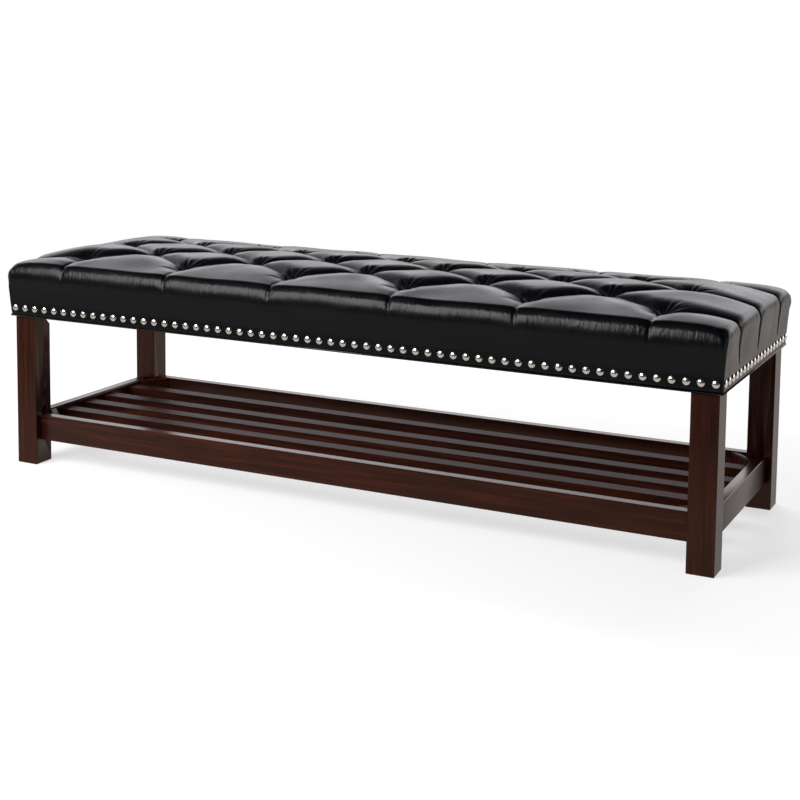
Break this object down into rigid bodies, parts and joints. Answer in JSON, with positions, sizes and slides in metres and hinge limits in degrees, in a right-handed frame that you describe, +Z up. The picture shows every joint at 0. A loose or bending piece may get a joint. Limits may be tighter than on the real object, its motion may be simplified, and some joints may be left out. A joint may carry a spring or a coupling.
{
  "type": "upholstered bench",
  "caption": "Long bench with a deep diamond-tufted leather seat, a row of nail heads, square wooden legs and a slatted shelf",
  "frame": {"origin": "on the floor under the middle of the bench", "axes": "+X along the bench to its right end, +Y to the back, +Z up"},
  "size_m": [1.537, 0.508, 0.457],
  "materials": {
    "seat_leather": "semi-gloss, pebbled, deep-tufted",
    "welt_leather": "semi-gloss",
    "nail_nickel": "polished nickel",
    "stained_wood": "dark espresso stain, satin lacquer",
    "frame_wood": "planed, unfinished",
    "deck_plywood": "sanded plywood",
    "seat_foam": "open-cell foam",
    "dust_cloth": "thin non-woven cloth",
    "bolt_steel": "zinc plated"
  },
  "bodies": {
    "root": {"bolt_nuts": "bolt_steel", "bolt_washers": "bolt_steel", "dust_cover": "dust_cloth", "foam_slab": "seat_foam", "hanger_bolts": "bolt_steel", "leg_back_left": "stained_wood", "leg_back_right": "stained_wood", "leg_front_left": "stained_wood", "leg_front_right": "stained_wood", "nails_back": "nail_nickel", "nails_front": "nail_nickel", "nails_left": "nail_nickel", "nails_right": "nail_nickel", "seat_apron_back": "frame_wood", "seat_apron_front": "frame_wood", "seat_apron_left": "frame_wood", "seat_apron_right": "frame_wood", "seat_corner_block_back_left": "frame_wood", "seat_corner_block_back_right": "frame_wood", "seat_corner_block_front_left": "frame_wood", "seat_corner_block_front_right": "frame_wood", "seat_crossbar_left": "frame_wood", "seat_crossbar_right": "frame_wood", "seat_deck": "deck_plywood", "shelf_brace_back_left": "stained_wood", "shelf_brace_back_right": "stained_wood", "shelf_brace_front_left": "stained_wood", "shelf_brace_front_right": "stained_wood", "shelf_rail_back": "stained_wood", "shelf_rail_front": "stained_wood", "shelf_rail_left": "stained_wood", "shelf_rail_right": "stained_wood", "shelf_slat_1": "stained_wood", "shelf_slat_2": "stained_wood", "shelf_slat_3": "stained_wood", "shelf_slat_4": "stained_wood", "skirt_board_back": "frame_wood", "skirt_board_front": "frame_wood", "skirt_board_left": "frame_wood", "skirt_board_right": "frame_wood", "tufted_cover": "seat_leather", "welt_back": "welt_leather", "welt_front": "welt_leather", "welt_left": "welt_leather", "welt_right": "welt_leather"}
  },
  "joints": []
}
